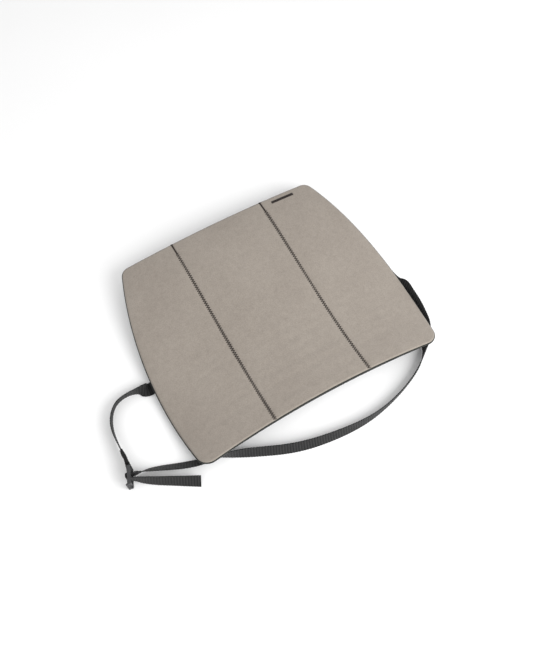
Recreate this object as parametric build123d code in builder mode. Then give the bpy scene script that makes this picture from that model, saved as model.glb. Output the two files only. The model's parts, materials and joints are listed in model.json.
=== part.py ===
from build123d import *
import math
import os

# A slim back support that straps to the back of a chair, lying on its back.
# +X is the panel's right, +Y its top edge, +Z the front face. Millimetres.

# Panel outline: the sides bow out, the bottom edge is hollow
HALF_HEIGHT = 160.0
MEAN_HALF_WIDTH = 170.0
SIDE_TAPER = 15.0
SIDE_BULGE = 22.6
BOTTOM_RAISE = 2.6
BOTTOM_HOLLOW = 9.0
TOP_RADIUS = 13.0
BOTTOM_RADIUS = 18.0
SMALLEST_RADIUS = 6.0
CENTRE_SHIFT = -0.96

# Panel curvature, padding and layers
CROWN = 10.4
DIP = -12.0
WAVE = -14.2
FRONT_PUFF = 2.5
BACK_BELLY = 11.0
EDGE_THICKNESS = 6.5
EDGE_BACK_HEIGHT = 25.2
COVER = 1.2
PLATE = 1.8
PLATE_INSET = 26.0
FOAM_INSET = 3.0
LAYER_GAP = 0.05
BINDING = 1.0
BINDING_LAP = 0.4
SEAM_X = 74.0
FORM_REACH = 1.04
STITCH_WIDTH = 4.5
STITCH_RAISE = 0.3

# Webbing and the seats it is sewn to
WEB_WIDTH = 19.0
WEB_THICKNESS = 1.5
WEB_LIFT = 0.25
ANCHOR_Y = -14.0
TAB_INNER_X = 150.0
TAB_OUTER_X = 180.5
LEFT_EXIT_X = 198.0
THREAD_WIDTH = 0.9
STITCH_BOX = (22.0, 13.0)

# Blank bar sewn on near the top edge
TAG_CENTRE = (108.0, 149.0)
TAG_SIZE = (38.0, 7.0)
TAG_THICKNESS = 0.4

# Ladder lock, standing on edge at the end of the left strap
LOCK_BAR_X = -271.4
LOCK_BAR_Y = -107.2
LOCK_HEADING = 22.4
LOCK_HEIGHT = 26.0
LOCK_THICKNESS = 4.8
LOCK_FAR_END = -2.5
LOCK_NEAR_END = 23.8
RAIL = 3.2
BAR_RADIUS = 1.8
GRIP_BAR = 10.5
GRIP_BAR_LENGTH = 4.0
GRIP_BAR_THICKNESS = 3.6
THUMB_BAR_INNER = 18.0
WRAP_RADIUS = 3.4
WRAP_LEG = 6.0
WEB_MIDDLE = 13.0

# Sewn loop that holds the ladder lock's far bar
LOOP_X = -270.3
LOOP_TIP_Y = -94.0
LOOP_LAYERS = 3
LOOP_INNER_Y = -100.0
LOOP_NEAR_Y = -80.0
RUN_CLEARANCE = 0.3
BARTACK_Y = -87.0
BARTACK_SIZE = (0.3, 6.0)
BARTACK_HEIGHT = 14.0

# Faces and prisms that other shapes are cut with
FORM_ROWS = 8
FORM_COLUMNS = 10
PRISM_BASE = -20
PRISM_HEIGHT = 90
BODY_HEIGHT = 60
BEYOND_PANEL = 230

os.makedirs("parts", exist_ok=True)


# ---------------------------------------------------------------- the panel's form
def half_width(v):
    return MEAN_HALF_WIDTH - SIDE_TAPER * v + SIDE_BULGE * (1 - v * v)


def edge_surface(x, v):
    across = CROWN * (1 - (x / MEAN_HALF_WIDTH) ** 2)
    along = DIP * (1 - v * v) + WAVE * (v**3 - v)
    return EDGE_BACK_HEIGHT + across + along


def padding(x, v):
    """How full the padding is: 1 inside, 0 at the edges, and thin in the corners."""
    s = min(abs(x) / half_width(v), 1.0)
    return (1 - s**12) * (1 - min(abs(v), 1.0) ** 8)


def form(depth, lift):
    """A curved face over the whole panel; depth is how far the padding moves it."""
    rows = []
    for j in range(2 * FORM_ROWS + 1):
        v = FORM_REACH * math.sin(math.pi / 2 * (j / FORM_ROWS - 1))
        row = []
        for i in range(2 * FORM_COLUMNS + 1):
            x = FORM_REACH * math.sin(math.pi / 2 * (i / FORM_COLUMNS - 1)) * half_width(v)
            z = edge_surface(x, v) + depth * padding(x, v) + lift
            row.append(Vector(x, v * HALF_HEIGHT + CENTRE_SHIFT, z))
        rows.append(row)
    return Face.make_surface_from_array_of_points(rows, tol=0.05)


def plan_outline(inset):
    """The panel's outline seen from above, drawn in by an inset, with its corners rounded."""
    top = HALF_HEIGHT + CENTRE_SHIFT - inset
    bottom = CENTRE_SHIFT - HALF_HEIGHT + BOTTOM_RAISE + inset
    left_bottom = (inset - half_width(-1), bottom)
    right_bottom = (half_width(-1) - inset, bottom)
    left_top = (inset - half_width(1), top)
    right_top = (half_width(1) - inset, top)
    with BuildSketch(Plane.XY.offset(PRISM_BASE)) as plan:
        with BuildLine():
            ThreePointArc(left_bottom, (inset - half_width(0), CENTRE_SHIFT), left_top)
            Line(left_top, right_top)
            ThreePointArc(right_top, (half_width(0) - inset, CENTRE_SHIFT), right_bottom)
            ThreePointArc(right_bottom, (0, bottom + BOTTOM_HOLLOW), left_bottom)
        make_face()
        low_corners = plan.vertices().group_by(Axis.Y)[0]
        high_corners = plan.vertices().group_by(Axis.Y)[-1]
        fillet(low_corners, max(BOTTOM_RADIUS - inset, SMALLEST_RADIUS))
        fillet(high_corners, max(TOP_RADIUS - inset, SMALLEST_RADIUS))
    return plan.sketch


def trim_to_outline(inset, mode=Mode.INTERSECT):
    extrude(to_extrude=plan_outline(inset), amount=PRISM_HEIGHT, dir=(0, 0, 1), mode=mode)


def above(depth, lift, mode=Mode.ADD):
    """Everything above a form face."""
    extrude(to_extrude=form(depth, lift), amount=BODY_HEIGHT, dir=(0, 0, 1), mode=mode)


FRONT = EDGE_THICKNESS

with BuildPart() as front_cover:
    above(FRONT_PUFF, FRONT - COVER)
    above(FRONT_PUFF, FRONT, Mode.SUBTRACT)
    trim_to_outline(0)


def cover_strip(low_x, high_x):
    """Keeps the part of the current solid between two X values."""
    with Locations(((low_x + high_x) / 2, 0, 20)):
        Box(high_x - low_x, 400, 120, mode=Mode.INTERSECT)


with BuildPart() as front_panel_left:
    add(front_cover.part)
    cover_strip(-BEYOND_PANEL, -SEAM_X - 0.1)

with BuildPart() as front_panel_centre:
    add(front_cover.part)
    cover_strip(-SEAM_X + 0.1, SEAM_X - 0.1)

with BuildPart() as front_panel_right:
    add(front_cover.part)
    cover_strip(SEAM_X + 0.1, BEYOND_PANEL)

with BuildPart() as back_cover:
    above(-BACK_BELLY, 0)
    above(-BACK_BELLY, COVER, Mode.SUBTRACT)
    trim_to_outline(0)

with BuildPart() as foam_core:
    above(-BACK_BELLY, COVER + LAYER_GAP)
    above(FRONT_PUFF, FRONT - COVER - LAYER_GAP, Mode.SUBTRACT)
    trim_to_outline(FOAM_INSET)

with BuildPart() as plate_room:
    above(-BACK_BELLY, COVER + LAYER_GAP - 2)
    above(-BACK_BELLY, COVER + PLATE + 2 * LAYER_GAP, Mode.SUBTRACT)
    trim_to_outline(PLATE_INSET - LAYER_GAP)

with BuildPart() as foam_with_recess:
    add(foam_core.part)
    add(plate_room.part, mode=Mode.SUBTRACT)

with BuildPart() as support_plate:
    above(-BACK_BELLY, COVER + LAYER_GAP)
    above(-BACK_BELLY, COVER + LAYER_GAP + PLATE, Mode.SUBTRACT)
    trim_to_outline(PLATE_INSET)

with BuildPart() as edge_binding:
    above(-BACK_BELLY, BINDING_LAP)
    above(FRONT_PUFF, FRONT - BINDING_LAP, Mode.SUBTRACT)
    with BuildSketch(Plane.XY.offset(PRISM_BASE)) as ring:
        add(plan_outline(-BINDING))
        add(plan_outline(-LAYER_GAP), mode=Mode.SUBTRACT)
    extrude(to_extrude=ring.sketch, amount=PRISM_HEIGHT, dir=(0, 0, 1), mode=Mode.INTERSECT)


def seam_stitch(x):
    """The band of zigzag thread over one seam, a little proud of the cover."""
    above(FRONT_PUFF, FRONT + LAYER_GAP)
    above(FRONT_PUFF, FRONT + LAYER_GAP + STITCH_RAISE, Mode.SUBTRACT)
    trim_to_outline(1.0)
    cover_strip(x - STITCH_WIDTH / 2, x + STITCH_WIDTH / 2)


with BuildPart() as seam_stitch_left:
    seam_stitch(-SEAM_X)

with BuildPart() as seam_stitch_right:
    seam_stitch(SEAM_X)

with BuildPart() as front_tag:
    above(FRONT_PUFF, FRONT + LAYER_GAP)
    above(FRONT_PUFF, FRONT + LAYER_GAP + TAG_THICKNESS, Mode.SUBTRACT)
    with BuildSketch(Plane.XY.offset(PRISM_BASE)):
        with Locations(TAG_CENTRE):
            Rectangle(*TAG_SIZE)
    extrude(amount=PRISM_HEIGHT, mode=Mode.INTERSECT)

# ---------------------------------------------------------------- sewn-on strap ends
def stitch_box(middle_x):
    """A box and cross of thread, seen from below."""
    length, width = STITCH_BOX
    slant = math.degrees(math.atan2(width, length))
    diagonal = math.hypot(length, width)
    with BuildSketch() as box:
        with Locations((middle_x, ANCHOR_Y)):
            Rectangle(length, width)
            Rectangle(length - 2 * THREAD_WIDTH, width - 2 * THREAD_WIDTH, mode=Mode.SUBTRACT)
            Rectangle(diagonal - 1, THREAD_WIDTH, rotation=slant)
            Rectangle(diagonal - 1, THREAD_WIDTH, rotation=-slant)
    extrude(to_extrude=box.sketch, amount=STITCH_RAISE)


STITCH_X = (TAB_INNER_X + TAB_OUTER_X) / 2

with BuildPart() as left_anchor_stitch:
    stitch_box(-STITCH_X)

with BuildPart() as right_anchor_stitch:
    stitch_box(STITCH_X)

with BuildPart() as left_anchor_tab:
    with BuildSketch():
        with Locations((-(TAB_INNER_X + TAB_OUTER_X) / 2, ANCHOR_Y)):
            Rectangle(TAB_OUTER_X - TAB_INNER_X, WEB_WIDTH)
    extrude(amount=6)
    above(-BACK_BELLY, -LAYER_GAP, Mode.SUBTRACT)
    with BuildSketch():
        with Locations((-(TAB_OUTER_X + LEFT_EXIT_X) / 2, ANCHOR_Y)):
            Rectangle(LEFT_EXIT_X - TAB_OUTER_X, WEB_WIDTH)
    extrude(amount=WEB_THICKNESS)
    add(left_anchor_stitch.part, mode=Mode.SUBTRACT)

FOLD_LOW_Y = ANCHOR_Y - WEB_WIDTH / 2
FOLD_HIGH_Y = ANCHOR_Y + WEB_WIDTH / 2
FOLD_OUTER_X = TAB_OUTER_X + WEB_WIDTH

with BuildPart() as right_anchor_tab:
    with BuildSketch():
        with Locations(((TAB_INNER_X + TAB_OUTER_X) / 2, ANCHOR_Y)):
            Rectangle(TAB_OUTER_X - TAB_INNER_X, WEB_WIDTH)
    extrude(amount=6)
    with BuildSketch():
        with BuildLine():
            Polyline(
                (TAB_OUTER_X, FOLD_HIGH_Y),
                (FOLD_OUTER_X, FOLD_LOW_Y),
                (TAB_OUTER_X, FOLD_LOW_Y),
                close=True,
            )
        make_face()
    extrude(amount=2 * WEB_THICKNESS)
    above(-BACK_BELLY, -LAYER_GAP, Mode.SUBTRACT)
    add(right_anchor_stitch.part, mode=Mode.SUBTRACT)


# ---------------------------------------------------------------- loose webbing
def web_centre(point):
    """Route points are x, y, lean and lift; lean is 0 flat and 90 on edge."""
    x, y, lean, lift = point
    rise = WEB_WIDTH / 2 * math.sin(math.radians(lean))
    half_thick = WEB_THICKNESS / 2 * abs(math.cos(math.radians(lean)))
    return Vector(x, y, rise + half_thick + WEB_LIFT + lift)


def webbing(name, route):
    """Lofts flat webbing along straight runs joined by tangent arcs."""
    centres = [web_centre(point) for point in route]
    runs = [b - a for a, b in zip(centres, centres[1:])]
    radii = []
    for before, after in zip(runs, runs[1:]):
        half_turn = math.radians(before.get_angle(after)) / 2
        radii.append(0.45 * min(before.length, after.length) / math.tan(half_turn))
    print(name, "radii", [round(radius) for radius in radii])
    with BuildLine() as line:
        FilletPolyline(*centres, radius=radii)
    path = line.wire()
    reached = [0.0]
    for run in runs:
        reached.append(reached[-1] + run.length)
    sections = []
    count = 3 * len(runs)
    for i in range(count + 1):
        share = i / count
        distance = share * reached[-1]
        k = min(sum(1 for r in reached[1:] if r < distance), len(runs) - 1)
        part = (distance - reached[k]) / runs[k].length
        lean = math.radians(route[k][2] + part * (route[k + 1][2] - route[k][2]))
        along = path % share
        side = Vector(0, 0, 1).cross(along).normalized()
        upward = along.cross(side).normalized()
        across = side * math.cos(lean) + upward * math.sin(lean)
        with BuildSketch(Plane(origin=path @ share, x_dir=across, z_dir=along)) as section:
            Rectangle(WEB_WIDTH, WEB_THICKNESS)
        sections.append(section.sketch)
    loft(sections=[section.face() for section in sections], ruled=True)
    print(name, "path", round(path.length, 1), "section times length",
          round(path.length * WEB_WIDTH * WEB_THICKNESS))


LEFT_ROUTE = [
    (-198.6, -14.0, 180, 0),
    (-203.0, -14.0, 158, 0),
    (-207.5, -13.4, 128, 0),
    (-212.0, -12.2, 104, 0),
    (-218.0, -10.6, 89, 0),
    (-227.5, -9.2, 82, 0),
    (-238.0, -9.8, 80, 0),
    (-248.0, -12.9, 81, 0),
    (-257.0, -20.4, 84, 0),
    (-264.0, -31.0, 89, 0),
    (-268.4, -43.5, 92, 0.5),
    (-270.0, -56.5, 92, 1.2),
    (-270.3, -69.0, 90, 2.4),
    (-270.3, -80.0, 90, 3.4),
]

RIGHT_ROUTE = [
    (190.4, -24.0, 0, 0),
    (190.9, -34.0, 2, 0),
    (193.4, -46.0, 12, 0),
    (196.8, -52.0, 32, 0),
    (199.2, -58.5, 56, 0),
    (200.6, -70.0, 82, 0),
    (200.4, -83.5, 84, 0),
    (198.6, -97.0, 80, 0),
    (195.4, -108.5, 72, 0),
    (191.0, -120.5, 46, 0),
    (184.2, -132.5, 39, 0),
    (176.0, -145.0, 46, 0),
    (171.4, -151.4, 64, 0),
    (166.0, -157.4, 82, 0),
    (153.6, -168.5, 97, 0),
    (140.0, -177.6, 98, 0),
    (124.0, -185.4, 98, 0),
    (104.0, -193.2, 97, 0),
    (82.0, -199.6, 97, 0),
    (60.0, -203.8, 99, 0),
    (38.0, -205.6, 102, 0),
    (14.0, -204.8, 107, 0),
    (-11.0, -202.0, 111, 0),
    (-37.0, -197.6, 115, 0),
    (-61.0, -191.4, 117, 0),
    (-83.0, -183.4, 117, 0),
    (-104.0, -173.8, 116, 0),
    (-124.0, -164.6, 113, 0),
    (-143.0, -156.2, 102, 0),
    (-162.0, -150.0, 74, 0),
    (-180.0, -145.4, 49, 0),
    (-198.0, -140.2, 47, 0),
    (-215.0, -133.8, 50, 0),
    (-230.9, -127.0, 54, 0.4),
]

with BuildPart() as left_strap:
    webbing("left_strap", LEFT_ROUTE)

with BuildPart() as right_strap:
    webbing("right_strap", RIGHT_ROUTE)

# ---------------------------------------------------------------- ladder lock and what is threaded on it
heading = math.radians(LOCK_HEADING)
lock_along = Vector(-math.sin(heading), -math.cos(heading), 0)
lock_origin = Vector(LOCK_BAR_X, LOCK_BAR_Y, 0)
lock_plane = Plane(origin=lock_origin, x_dir=lock_along, z_dir=(0, 0, 1))
lock_length = LOCK_NEAR_END - LOCK_FAR_END
lock_middle = (LOCK_NEAR_END + LOCK_FAR_END) / 2
lock_base = WEB_LIFT

with BuildPart() as ladder_lock:
    for level in (lock_base, LOCK_HEIGHT - RAIL):
        with BuildSketch(lock_plane.offset(level)):
            with Locations((lock_middle, 0)):
                RectangleRounded(lock_length, LOCK_THICKNESS, 1.2)
        extrude(amount=RAIL)
    with BuildSketch(lock_plane.offset(lock_base)):
        Circle(BAR_RADIUS)
        with Locations((GRIP_BAR, 0)):
            RectangleRounded(GRIP_BAR_LENGTH, GRIP_BAR_THICKNESS, 0.8)
        with BuildLine():
            Polyline(
                (THUMB_BAR_INNER, -0.4),
                (THUMB_BAR_INNER + 1.2, 1.8),
                (LOCK_NEAR_END - 0.8, 0.2),
                (LOCK_NEAR_END + 1.2, -3.4),
                (LOCK_NEAR_END - 0.6, -4.4),
                (LOCK_NEAR_END - 2.4, -1.8),
                close=True,
            )
        make_face()
    extrude(amount=LOCK_HEIGHT - lock_base)

web_low = WEB_MIDDLE - WEB_WIDTH / 2
leg_near = GRIP_BAR + WRAP_RADIUS
leg_far = GRIP_BAR - WRAP_RADIUS

with BuildPart() as strap_wrap:
    with BuildSketch(lock_plane.offset(web_low)):
        with BuildLine() as bend:
            Line((leg_far, WRAP_LEG), (leg_far, 0))
            ThreePointArc((leg_far, 0), (GRIP_BAR, -WRAP_RADIUS), (leg_near, 0))
            Line((leg_near, 0), (leg_near, WRAP_LEG))
        trace(bend.wire(), WEB_THICKNESS)
    extrude(amount=WEB_WIDTH)


def on_lock(along, out):
    """A point in plan given in the ladder lock's own directions."""
    point = lock_plane.from_local_coords(Vector(along, out, 0))
    return point.X, point.Y


lead_x, lead_y = on_lock(leg_far, WRAP_LEG)
tail_x, tail_y = on_lock(leg_near, WRAP_LEG)
lift = WEB_MIDDLE - WEB_WIDTH / 2 - WEB_LIFT

LEAD_ROUTE = [
    (-231.8, -126.6, 54, 0.5),
    (-243.0, -122.2, 59, 1),
    (-256.0, -118.4, 68, 2.4),
    (lead_x, lead_y, 90, lift),
]

TAIL_ROUTE = [
    (tail_x, tail_y, 90, lift),
    (-263.0, -128.6, 78, 2.2),
    (-248.0, -138.0, 70, 1),
    (-232.0, -147.0, 66, 0.4),
    (-215.0, -156.8, 60, 0),
    (-196.6, -167.2, 52, 0),
]

with BuildPart() as strap_lead:
    webbing("strap_lead", LEAD_ROUTE)

with BuildPart() as strap_tail:
    webbing("strap_tail", TAIL_ROUTE)

bar = (LOCK_BAR_X, LOCK_BAR_Y)
loop_root_y = LOOP_TIP_Y - 0.5
loop_block = LOOP_NEAR_Y - loop_root_y
loop_thick = LOOP_LAYERS * WEB_THICKNESS

with BuildPart() as left_strap_loop:
    with BuildSketch(Plane.XY.offset(web_low)) as outer:
        with Locations(bar):
            Circle(BAR_RADIUS + RUN_CLEARANCE + WEB_THICKNESS)
        with Locations((LOOP_X, LOOP_TIP_Y)):
            Circle(loop_thick / 2)
        make_hull()
    extrude(amount=WEB_WIDTH)
    with BuildSketch(Plane.XY.offset(web_low)) as inner:
        with Locations(bar):
            Circle(BAR_RADIUS + RUN_CLEARANCE)
        with Locations((LOOP_X, LOOP_INNER_Y)):
            Circle(0.3)
        make_hull()
    extrude(amount=WEB_WIDTH, mode=Mode.SUBTRACT)
    with BuildSketch(Plane.XY.offset(web_low)):
        with Locations((LOOP_X, loop_root_y + loop_block / 2)):
            Rectangle(loop_thick, loop_block)
    extrude(amount=WEB_WIDTH)

with BuildPart() as loop_bartack:
    with BuildSketch(Plane.XY.offset(WEB_MIDDLE - BARTACK_HEIGHT / 2)):
        tack_offset = (loop_thick + BARTACK_SIZE[0]) / 2 + LAYER_GAP
        for face_x in (-tack_offset, tack_offset):
            with Locations((LOOP_X + face_x, BARTACK_Y)):
                Rectangle(*BARTACK_SIZE)
    extrude(amount=BARTACK_HEIGHT)

# ---------------------------------------------------------------- written out
for name, piece in {
    "front_panel_left": front_panel_left.part,
    "front_panel_centre": front_panel_centre.part,
    "front_panel_right": front_panel_right.part,
    "seam_stitch_left": seam_stitch_left.part,
    "seam_stitch_right": seam_stitch_right.part,
    "front_tag": front_tag.part,
    "back_cover": back_cover.part,
    "foam_core": foam_with_recess.part,
    "support_plate": support_plate.part,
    "edge_binding": edge_binding.part,
    "left_anchor_tab": left_anchor_tab.part,
    "right_anchor_tab": right_anchor_tab.part,
    "left_anchor_stitch": left_anchor_stitch.part,
    "right_anchor_stitch": right_anchor_stitch.part,
    "left_strap": left_strap.part,
    "right_strap": right_strap.part,
    "left_strap_loop": left_strap_loop.part,
    "loop_bartack": loop_bartack.part,
    "ladder_lock": ladder_lock.part,
    "strap_wrap": strap_wrap.part,
    "strap_lead": strap_lead.part,
    "strap_tail": strap_tail.part,
}.items():
    piece.label = name
    print(name, piece.is_valid, round(piece.volume), piece.bounding_box())
    export_step(piece, f"parts/{name}.step")
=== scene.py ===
import math
import random

import bpy
import numpy as np
from mathutils import Matrix, Vector, kdtree, noise
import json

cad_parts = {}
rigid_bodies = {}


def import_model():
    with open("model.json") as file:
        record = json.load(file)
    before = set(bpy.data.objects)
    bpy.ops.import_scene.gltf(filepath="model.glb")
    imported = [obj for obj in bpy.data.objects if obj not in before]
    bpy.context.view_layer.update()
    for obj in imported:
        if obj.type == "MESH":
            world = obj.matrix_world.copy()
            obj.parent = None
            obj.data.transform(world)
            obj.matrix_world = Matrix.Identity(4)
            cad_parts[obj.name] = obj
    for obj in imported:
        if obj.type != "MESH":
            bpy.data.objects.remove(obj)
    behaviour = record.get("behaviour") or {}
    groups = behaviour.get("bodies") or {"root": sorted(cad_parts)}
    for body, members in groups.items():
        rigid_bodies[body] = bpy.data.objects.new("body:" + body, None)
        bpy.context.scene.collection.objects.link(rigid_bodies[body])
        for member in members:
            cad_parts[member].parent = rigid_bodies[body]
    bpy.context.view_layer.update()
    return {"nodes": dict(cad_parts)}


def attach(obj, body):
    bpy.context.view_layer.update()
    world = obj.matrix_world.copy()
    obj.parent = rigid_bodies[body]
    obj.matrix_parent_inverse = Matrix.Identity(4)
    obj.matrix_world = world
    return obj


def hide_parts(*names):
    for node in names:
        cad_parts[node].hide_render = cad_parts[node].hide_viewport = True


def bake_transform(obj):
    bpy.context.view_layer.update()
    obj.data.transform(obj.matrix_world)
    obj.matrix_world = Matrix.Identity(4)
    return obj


MM = 0.001

# The panel's form, as in part.py, in millimetres
HALF_HEIGHT = 160.0
MEAN_HALF_WIDTH = 170.0
SIDE_TAPER = 15.0
SIDE_BULGE = 22.6
BOTTOM_RAISE = 2.6
BOTTOM_HOLLOW = 9.0
TOP_RADIUS = 13.0
BOTTOM_RADIUS = 18.0
SMALLEST_RADIUS = 6.0
CENTRE_SHIFT = -0.96
CROWN = 10.4
DIP = -12.0
WAVE = -14.2
FRONT_PUFF = 2.5
BACK_BELLY = 11.0
EDGE_THICKNESS = 6.5
EDGE_BACK_HEIGHT = 25.2
SEAM_X = 74.0
SEAM_GAP = 0.1

# How the covers meet at the rim and the seams, and how far they may swell
ROLL_WIDTH = 2.6
ROLL_DROP = 2.3
COVER_THICKNESS = 1.1
SEAM_DIP = 0.7
SEAM_SOFTNESS = 3.2
PUFF_CAP = 1.6
HELD_RIM = 7.0
HELD_SEAM = 1.0
FRONT_PITCH = 4.0
BACK_PITCH = 5.0
FOAM_PITCH = 8.0
FOAM_INSET = 7.0
CLOTH_FRAMES = 20
CLOTH_PRESSURE = 4.0

# Small wrinkles by the seams and the rim, and slow waves over the rest
PUCKER_HEIGHT = 0.35
PUCKER_REACH = 9.0
WAVE_HEIGHT = 0.5
WAVE_START = 20.0

# Zigzag over the seams, and where it was locked at the top
ZIGZAG_HALF = 2.5
ZIGZAG_STEP = 1.75
LOCKED_LENGTH = 19.0
LOCKED_HALF = 1.15
LOCKED_STEP = 0.7
ZIGZAG_THREAD = 0.36
KNOT_THREAD = 0.6

# Stitched bar near the top edge
BAR_LEFT_X = 90.0
BAR_LOW_Y = 147.0
BAR_HIGH_Y = 151.4
BAR_STITCHES = 74
BAR_STITCH_STEP = 0.5
BAR_THREAD = 0.27
BAR_CROWN = 0.45

# Webbing
WEB_WIDTH = 19.0
WEB_THICKNESS = 1.5
WEB_LIFT = 0.25
RIB_PITCH = 3.8
ROWS_PER_RIB = 6
ANCHOR_Y = -14.0
TAB_INNER_X = 150
LEFT_TAB_OUTER_X = 198.6
RIGHT_FOLD_X = 181.0
FOLD_LOW_Z = 0.2
FOLD_HIGH_Z = 3.1

# Box and cross of thread under the anchors
STITCH_X = 165.25
STITCH_HALF_LENGTH = 11
STITCH_HALF_WIDTH = 6.5
STITCH_Z = 0.42
STITCH_PITCH = 2.6
STITCH_GAP = 0.5
STITCH_THREAD = 0.42

# Ladder lock
LOCK_BAR_X = -271.4
LOCK_BAR_Y = -107.2
LOCK_HEADING = 22.4
LOCK_HEIGHT = 26.0
LOCK_THICKNESS = 4.8
LOCK_FAR_END = -2.5
LOCK_NEAR_END = 23.8
RAIL = 3.2
BAR_RADIUS = 1.8
GRIP_BAR = 10.5
GRIP_BAR_LENGTH = 4.0
GRIP_BAR_THICKNESS = 3.6
THUMB_BAR_INNER = 18.0
WEB_MIDDLE = 13.0
RIDGES = 5
RIDGE_LOW_Z = 5.4
RIDGE_PITCH = 3.6
RIDGE_HEIGHT = 1.2

# Sewn loop and the bartack across it
LOOP_X = -270.3
RUN_CLEARANCE = 0.3
TACK_ROWS = 8
TACK_HIGH_Y = -84.4
TACK_STEP = 0.75
TACK_LOW_Z = 6.2
TACK_HIGH_Z = 19.8
TACK_SLANT = 0.35
TACK_THREAD = 0.3

# Floor, half its side and its height
FLOOR_HALF = 4000.0
FLOOR_Z = -0.3

# Camera: its lens, its place in metres and the way it looks
LENS = 43.97
EYE = (-0.2396, -0.4516, 1.0496)
AHEAD = (0.2124, 0.3709, -0.9041)

# Lights: name, place, aim and side in metres, and power in watts
WORLD_STRENGTH = 0.85
LIGHTS = (
    ("key", (0.42, -0.85, 0.75), (0.08, -0.08, 0), 0.9, 13.0),
    ("fill", (-0.9, -0.6, 1.2), (0, 0, 0), 1.2, 3.0),
)

for leftover in list(bpy.data.objects):
    bpy.data.objects.remove(leftover, do_unlink=True)
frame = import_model()
scene = bpy.context.scene


# ------------------------------------------------------------------ helpers
def to_object(name, points, faces, smooth=True):
    """A mesh object from points in millimetres."""
    mesh = bpy.data.meshes.new(name)
    mesh.from_pydata([tuple(c * MM for c in p) for p in points], [], faces)
    mesh.validate()
    mesh.update()
    made = bpy.data.objects.new(name, mesh)
    scene.collection.objects.link(made)
    for polygon in mesh.polygons:
        polygon.use_smooth = smooth
    return made


def bake_modifiers(made):
    """Keeps what the modifiers make and drops them."""
    graph = bpy.context.evaluated_depsgraph_get()
    mesh = bpy.data.meshes.new_from_object(made.evaluated_get(graph), depsgraph=graph)
    mesh.name = made.name
    made.modifiers.clear()
    made.data = mesh
    for polygon in mesh.polygons:
        polygon.use_smooth = True


def coords(made):
    flat = np.empty(len(made.data.vertices) * 3)
    made.data.vertices.foreach_get("co", flat)
    return flat.reshape(-1, 3)


def set_coords(made, points):
    made.data.vertices.foreach_set("co", np.asarray(points).ravel())
    made.data.update()


def dress(made, material, body, slot, *nodes):
    """Gives a piece its material and body, and hides the CAD nodes that it stands for. The slot is not used.
    """
    made.data.materials.clear()
    made.data.materials.append(material)
    if nodes:
        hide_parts(*nodes)
    if body:
        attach(made, body)


def joined(name, parts):
    """One object from several, each with its modifiers applied."""
    points, faces, count = [], [], 0
    for part in parts:
        bake_modifiers(part)
        points += [v.co / MM for v in part.data.vertices]
        faces += [[count + i for i in p.vertices] for p in part.data.polygons]
        count = len(points)
        bpy.data.objects.remove(part, do_unlink=True)
    return to_object(name, points, faces)


# ------------------------------------------------------------------ camera
def add_camera():
    data = bpy.data.cameras.new("main_view")
    data.sensor_width = 36.0
    data.lens = LENS
    data.clip_start = 0.05
    data.clip_end = 20.0
    ahead = Vector(AHEAD).normalized()
    right = ahead.cross(Vector((0, 0, 1))).normalized()
    up = right.cross(ahead)
    camera = bpy.data.objects.new("main_view", data)
    scene.collection.objects.link(camera)
    turn = Matrix((right, up, -ahead)).transposed()
    camera.matrix_world = Matrix.Translation(Vector(EYE)) @ turn.to_4x4()
    scene.camera = camera


add_camera()

# ------------------------------------------------------------------ webbing routes
# x, y, lean and lift, in metres and degrees: lean is 0 flat and 90 on edge
LEFT_ROUTE = [
    (-0.1986, -0.0140, 180, 0),
    (-0.2030, -0.0140, 158, 0),
    (-0.2075, -0.0134, 128, 0),
    (-0.2120, -0.0122, 104, 0),
    (-0.2180, -0.0106, 89, 0),
    (-0.2275, -0.0092, 82, 0),
    (-0.2380, -0.0098, 80, 0),
    (-0.2480, -0.0129, 81, 0),
    (-0.2570, -0.0204, 84, 0),
    (-0.2640, -0.0310, 89, 0),
    (-0.2684, -0.0435, 92, 0.0005),
    (-0.2700, -0.0565, 92, 0.0012),
    (-0.2703, -0.0690, 90, 0.0024),
    (-0.2703, -0.0805, 90, 0.0034),
]

RIGHT_ROUTE = [
    (0.1904, -0.0238, 0, 0),
    (0.1909, -0.0340, 2, 0),
    (0.1934, -0.0460, 12, 0),
    (0.1968, -0.0520, 32, 0),
    (0.1992, -0.0585, 56, 0),
    (0.2006, -0.0700, 82, 0),
    (0.2004, -0.0835, 84, 0),
    (0.1986, -0.0970, 80, 0),
    (0.1954, -0.1085, 72, 0),
    (0.1910, -0.1205, 46, 0),
    (0.1842, -0.1325, 39, 0),
    (0.1760, -0.1450, 46, 0),
    (0.1714, -0.1514, 64, 0),
    (0.1660, -0.1574, 82, 0),
    (0.1536, -0.1685, 92, 0),
    (0.1400, -0.1776, 90, 0),
    (0.1240, -0.1854, 88, 0),
    (0.1040, -0.1932, 87, 0),
    (0.0820, -0.1996, 88, 0),
    (0.0600, -0.2038, 92, 0),
    (0.0380, -0.2056, 98, 0),
    (0.0140, -0.2048, 105, 0),
    (-0.0110, -0.2020, 111, 0),
    (-0.0370, -0.1976, 115, 0),
    (-0.0610, -0.1914, 117, 0),
    (-0.0830, -0.1834, 117, 0),
    (-0.1040, -0.1738, 116, 0),
    (-0.1240, -0.1646, 113, 0),
    (-0.1430, -0.1562, 102, 0),
    (-0.1620, -0.1500, 74, 0),
    (-0.1800, -0.1454, 49, 0),
    (-0.1980, -0.1402, 47, 0),
    (-0.2150, -0.1338, 50, 0),
    (-0.2310, -0.1270, 54, 0.0004),
]

LEAD_ROUTE = [
    (-0.2310, -0.1270, 54, 0.0004),
    (-0.2430, -0.1222, 59, 0.001),
    (-0.2560, -0.1184, 68, 0.0024),
    (-0.2686, -0.1160, 90, 0.00325),
]

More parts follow.
